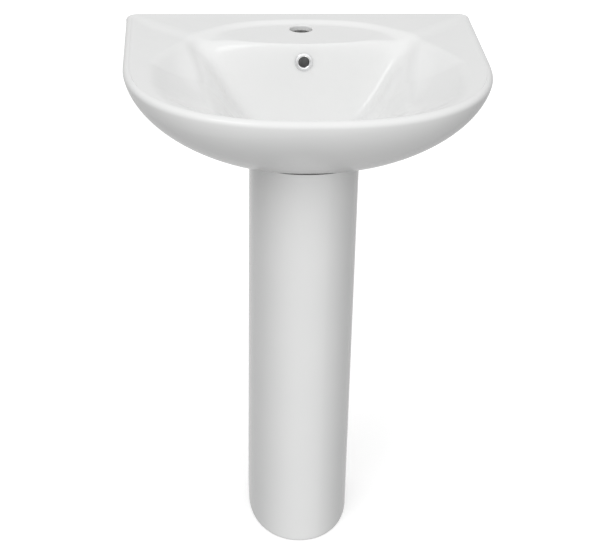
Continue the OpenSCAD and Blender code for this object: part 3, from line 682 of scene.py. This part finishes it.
def make_pedestal():
    rolled = ((0, 2.2*MM), (0.5*MM, 1.1*MM), (1.4*MM, 0.4*MM), (3*MM, 0))
    foot = [pedestal_ring(z, inset) for z, inset in rolled]
    rise = [pedestal_ring(z) for z in np.linspace(6*MM, PEDESTAL_TOP, 60)]
    piece = loft("pedestal_ware", foot + rise)
    bore = loft("bore", [pedestal_ring(z, PEDESTAL_WALL, 40) for z in (LEDGE_T, 0.3, PEDESTAL_TOP + 5*MM)])
    combine(piece, bore, "DIFFERENCE")
    floor_gap = block("floor_gap", (-OPENING/2, -FOOT_GAP, -1*MM),
                      (OPENING/2, PEDESTAL_BACK + FOOT_GAP, LEDGE_T + 2*MM))
    combine(piece, floor_gap, "DIFFERENCE")
    doorway = block("doorway", (-OPENING/2, PEDESTAL_BACK - 30*MM, -1*MM),
                    (OPENING/2, PEDESTAL_BACK + 30*MM, PEDESTAL_TOP + 5*MM))
    combine(piece, doorway, "DIFFERENCE")
    combine(piece, shell_solid(PAD_GAP, PEDESTAL_TOP + 60*MM), "DIFFERENCE")
    for side in (-1, 1):
        hole_x = (OPENING/2 + FOOT_HALF - PEDESTAL_WALL)/2
        hole = cylinder("hole", SCREW_R, -2*MM, LEDGE_T + 2*MM)
        combine(piece, move(hole, Matrix.Translation((side*hole_x, SCREW_Y, 0))), "DIFFERENCE")
    return piece


pedestal = make_pedestal()
smooth(pedestal, 32)
finish_as(pedestal, "pedestal", "glazed_china", "sink")

# %% [markdown]
# ## The overflow ring
# A pressed chrome ring dresses the overflow hole. Its lip rolls over the glaze and its tube runs into
# the wall of the bowl, so light falls on the back of the channel through it.

# %% Overflow ring
RING_BORE = 8.3*MM


def make_overflow_ring():
    profile = [(RING_BORE, -9*MM), (10.1*MM, -9*MM), (10.1*MM, 1.2*MM), (13.4*MM, 1.2*MM)]
    profile += arc((12.6*MM, 2.0*MM), 0.8*MM, -20, 100, 8)
    profile += arc((10.3*MM, -0.2*MM), 3.4*MM, 62, 108, 8)
    profile += arc((9.1*MM, 2.0*MM), 0.8*MM, 100, 180, 6)
    piece = turned("overflow_trim", profile, 128)
    return move(piece, at_overflow())


overflow_ring = make_overflow_ring()
smooth(overflow_ring, 40)
finish_as(overflow_ring, "overflow_ring", "chrome", "sink")

# %% [markdown]
# ## Threads
# A screw thread is a helix cut into a bar. Moving each point of a turned grid in and out with the
# angle plus the height makes one without any boolean: the crest climbs one pitch every turn. The ends
# fade out, as they do where a die starts and stops.

# %% Threads
def threaded_rings(radius, low, high, pitch, depth, around=72, per_pitch=8, fade=1.0):
    """Rings of a threaded bar from low to high."""
    spin = np.linspace(0, 2*math.pi, around, endpoint=False)
    heights = np.linspace(low, high, max(int((high - low)/pitch*per_pitch), 2))
    rings = []
    for z in heights:
        phase = (z/pitch - spin/(2*math.pi)) % 1
        tooth = 1 - 2*np.abs(phase - 0.5)
        edge = np.clip(min(z - low, high - z)/(fade*pitch), 0, 1)
        r = radius - depth*(edge*(1 - tooth) + 0.5*(1 - edge))
        rings.append(np.column_stack([r*np.cos(spin), r*np.sin(spin), np.full(around, z)]))
    return rings


def plain_ring(radius, z, around=72):
    spin = np.linspace(0, 2*math.pi, around, endpoint=False)
    return np.column_stack([radius*np.cos(spin), radius*np.sin(spin), np.full(around, z)])


# %% [markdown]
# ## The waste
# The waste is a brass casting: a polished flange in the bowl, a threaded tail below it, two windows
# that take water from the overflow channel, and a small spider inside that holds the plug's catch.

# %% Waste body
waste_low, waste_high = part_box("waste_body")
TAIL_R = 20.95*MM
TAIL_BORE = TAIL_R - 2.6*MM
FLANGE_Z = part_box("waste_top_seal")[1].z
FLANGE_R = waste_high.x
SPIDER_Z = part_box("plug_cartridge")[0].z


def make_waste():
    rings = [plain_ring(TAIL_R - 1.2*MM, waste_low.z)]
    rings += threaded_rings(TAIL_R, waste_low.z + 0.8*MM, FLANGE_Z - 6*MM, 2.1*MM, 0.9*MM)
    rings += [plain_ring(TAIL_R - 0.3*MM, FLANGE_Z - 5*MM), plain_ring(TAIL_R - 0.3*MM, FLANGE_Z + 1*MM)]
    piece = loft("waste_tail", rings)
    flange = [(0, FLANGE_Z), (FLANGE_R - 0.4*MM, FLANGE_Z)]
    flange += arc((FLANGE_R - 1.2*MM, FLANGE_Z + 1.2*MM), 1.2*MM, -50, 80, 8)
    flange += arc((FLANGE_R - 6*MM, FLANGE_Z - 17*MM), 20*MM, 78, 90, 5)
    flange += [(TAIL_R + 2*MM, waste_high.z), (TAIL_BORE + 0.6*MM, waste_high.z - 2.2*MM),
               (0, waste_high.z - 2.4*MM)]
    combine(piece, turned("flange", flange, 128), "UNION")
    combine(piece, cylinder("bore", TAIL_BORE, waste_low.z - 1*MM, waste_high.z + 1*MM, 96), "DIFFERENCE")
    window = block("window", (-11*MM, -30*MM, BOSS_Z + 11*MM), (11*MM, 30*MM, BOSS_Z + 23*MM))
    combine(piece, window, "DIFFERENCE")
    spider_top = SPIDER_Z + 6*MM
    hub_profile = [(4*MM, SPIDER_Z), (7.5*MM, SPIDER_Z), (7.5*MM, spider_top), (4*MM, spider_top)]
    hub = turned("hub", hub_profile, 48)
    for turn in (30, 150, 270):
        arm = block("arm", (6.5*MM, -1.5*MM, SPIDER_Z + 0.3*MM),
                    (TAIL_BORE + 1*MM, 1.5*MM, spider_top - 0.3*MM))
        combine(hub, move(arm, Matrix.Rotation(math.radians(turn), 4, "Z")), "UNION")
    return combine(piece, hub, "UNION")


waste = make_waste()
smooth(waste, 40)
finish_as(waste, "waste_body", "plated_brass", "sink")

# %% [markdown]
# ## The plug
# The plug cap is a shallow chrome dome with a rolled edge. It is turned, so a profile is enough.

# %% Plug cap
cap_low, cap_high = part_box("plug_cap")
CAP_R = cap_high.x
PLUG_SEAL_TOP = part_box("plug_seal")[1].z


def make_cap():
    top = cap_high.z
    dome_r = 260*MM
    dome = [(r, top - dome_r + math.sqrt(dome_r**2 - r*r)) for r in np.linspace(CAP_R - 3*MM, 0, 16)]
    edge = arc((CAP_R - 2.2*MM, dome[0][1] - 2.0*MM), 2.0*MM, 0, 70, 8)
    profile = [(0, PLUG_SEAL_TOP - 1*MM), (4.05*MM, PLUG_SEAL_TOP - 1*MM), (4.05*MM, cap_low.z),
               (7*MM, cap_low.z),
               (7*MM, PLUG_SEAL_TOP - 2.5*MM), (14.95*MM, PLUG_SEAL_TOP - 2.5*MM), (14.95*MM, PLUG_SEAL_TOP),
               (CAP_R - 0.3*MM, PLUG_SEAL_TOP)]
    return turned("plug_dome", profile + edge + dome, 128)


plug_cap = make_cap()
smooth(plug_cap, 40)
finish_as(plug_cap, "plug_cap", "chrome", "plug")

# %% [markdown]
# ## The wall bolts
# A hanger bolt has a coarse thread for the wall plug and a fine one for the nut, with a plain neck
# between them at the wall's face. Both bolts are one node, so both go into one mesh.

# %% Wall bolts
bolt_low, bolt_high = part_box("wall_bolts")
BOLT_R = (bolt_high.z - bolt_low.z)/2
IN_WALL = bolt_high.y - wall_y


def make_bolt():
    reach = wall_y - bolt_low.y
    rings = [plain_ring(1.2*MM, -IN_WALL, 48), plain_ring(3.2*MM, -IN_WALL + 5*MM, 48)]
    rings += threaded_rings(BOLT_R, -IN_WALL + 7*MM, -1*MM, 3.6*MM, 1.2*MM, 48)
    rings += [plain_ring(BOLT_R - 0.5*MM, 0, 48), plain_ring(BOLT_R - 0.5*MM, 3*MM, 48)]
    rings += threaded_rings(BOLT_R, 4*MM, reach - 1.2*MM, 1.5*MM, 0.8*MM, 48)
    rings.append(plain_ring(BOLT_R - 1.2*MM, reach, 48))
    return loft("bolt", rings)


bolts = []
for side in (-1, 1):
    bolts.append(move(make_bolt(), at_bolt(side)))
hanger_bolts = combine(bolts[0], bolts[1], "UNION")
hanger_bolts.name = "hanger_bolts"
smooth(hanger_bolts, 30)
finish_as(hanger_bolts, "wall_bolts", "zinc_steel", "sink")

# %% [markdown]
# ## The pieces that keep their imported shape
# The trap, the nuts, the seals and the catch have the right shape already. They get their finish and
# smooth shading, and moulded or machined edges get a small bevel, because a perfectly sharp edge
# catches no light.

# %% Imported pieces
SLOT_OF = {part["node"]: part["material_slot"] for part in frame["record"]["subparts"]}
BEVELS = {"waste_backnut": 0.5, "bolt_nuts": 0.4, "trap_inlet_nut": 0.5, "trap_neck_nut": 0.5,
          "trap_outlet_nut": 0.5, "trap_cup": 0.6, "bolt_sleeves": 0.3}
remade = {"basin", "pedestal", "overflow_ring", "waste_body", "plug_cap", "wall_bolts"}
for node, piece in frame["nodes"].items():
    piece.data.materials.clear()
    piece.data.materials.append(finishes[SLOT_OF[node]])
    if node in remade:
        continue
    piece.data.shade_smooth()
    piece.data.set_sharp_from_angle(angle=math.radians(38))
    if node in BEVELS:
        bevel = piece.modifiers.new("edge", "BEVEL")
        bevel.width = BEVELS[node]*MM
        bevel.segments = 2
        bevel.limit_method = "ANGLE"
        bevel.angle_limit = math.radians(50)
        bevel.harden_normals = True
print("packed pieces with a bevel:", sorted(BEVELS))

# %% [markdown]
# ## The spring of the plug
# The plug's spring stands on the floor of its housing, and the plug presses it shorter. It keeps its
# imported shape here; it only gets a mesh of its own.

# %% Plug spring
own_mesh(frame["nodes"]["plug_spring"])

# %% [markdown]
# ## Floor
# The floor is a pale sweep that glows a little, as a lit studio floor does. It would flatten the ware
# from below, so the glaze neither reflects it nor takes its bounced light.

# %% Floor
FLOOR_SIZE = 60
FLOOR_WHITE, FLOOR_GLOW = 0.93, 0.3
floor_corners = [(x*FLOOR_SIZE, y*FLOOR_SIZE, 0) for x, y in ((-1, -1), (1, -1), (1, 1), (-1, 1))]
floor = new_piece("floor", floor_corners, [(0, 1, 2, 3)])
floor_finish = new_finish("pale_floor", (FLOOR_WHITE,)*3, 0.6, Emission_Color=(1, 1, 1, 1),
                          Emission_Strength=FLOOR_GLOW)
floor.data.materials.append(floor_finish)
floor.visible_diffuse = False
floor.visible_glossy = False
print("floor:", 2*FLOOR_SIZE, "m square")

# %% [markdown]
# ## Light
# White ware needs soft light and something grey to reflect, or it loses its shape. The world itself is
# a white room that is brightest above and in front, darker at both sides and towards the floor, so
# that every fold of the bowl gets its own grey. A small glow low at the back draws the edges of the
# pedestal. One softbox over the camera adds the highlights on the rim.

# %% Softbox
def softbox(name, at, toward, size, power):
    light = bpy.data.lights.new(name, "AREA")
    light.shape = "RECTANGLE"
    light.size, light.size_y = size
    light.energy = power
    lamp = bpy.data.objects.new(name, light)
    bpy.context.scene.collection.objects.link(lamp)
    lamp.location = at
    lamp.rotation_euler = (Vector(toward) - Vector(at)).to_track_quat("-Z", "Y").to_euler()
    return lamp


front_box = softbox("front_box", (-1.6, -2.0, 3.2), (0, 0, 0.7), (1.6, 1.2), 16)
print("softbox at", tuple(front_box.location))

# %% The room
ROOM_BRIGHT_FROM, ROOM_GRADIENT, ROOM_MIDDLE = (0, -0.66, 0.75), 0.56, 0.68
ROOM_SIDE_DIM = -0.4
ROOM_GLOW_FROM, ROOM_GLOW_POWER, ROOM_GLOW = (0, 0.87, -0.49), 3, 0.6
world = bpy.data.worlds.new("studio")
world.use_nodes = True
sky = world.node_tree


def sky_node(kind, operation, *inputs):
    node = sky.nodes.new(kind)
    node.operation = operation
    for socket, value in zip(node.inputs, inputs):
        if isinstance(value, bpy.types.NodeSocket):
            sky.links.new(value, socket)
        else:
            socket.default_value = value
    return node


place = sky.nodes.new("ShaderNodeTexCoord").outputs["Generated"]
facing = sky_node("ShaderNodeVectorMath", "DOT_PRODUCT", place, ROOM_BRIGHT_FROM)
aside = sky_node("ShaderNodeVectorMath", "MULTIPLY", place, (1, 0, 0))
aside = sky_node("ShaderNodeVectorMath", "DOT_PRODUCT", aside.outputs["Vector"], aside.outputs["Vector"])
bright = sky_node("ShaderNodeMath", "MULTIPLY_ADD", facing.outputs["Value"], ROOM_GRADIENT, ROOM_MIDDLE)
dimmed = sky_node("ShaderNodeMath", "MULTIPLY_ADD", aside.outputs["Value"], ROOM_SIDE_DIM, bright.outputs[0])
behind = sky_node("ShaderNodeVectorMath", "DOT_PRODUCT", place, ROOM_GLOW_FROM)
behind = sky_node("ShaderNodeMath", "MAXIMUM", behind.outputs["Value"], 0)
behind = sky_node("ShaderNodeMath", "POWER", behind.outputs[0], ROOM_GLOW_POWER)
whole = sky_node("ShaderNodeMath", "MULTIPLY_ADD", behind.outputs[0], ROOM_GLOW, dimmed.outputs[0])
sky.links.new(whole.outputs[0], sky.nodes["Background"].inputs["Strength"])
sky.nodes["Background"].inputs["Color"].default_value = (1, 1, 1, 1)
bpy.context.scene.world = world
bpy.context.scene.view_settings.view_transform = "Standard"
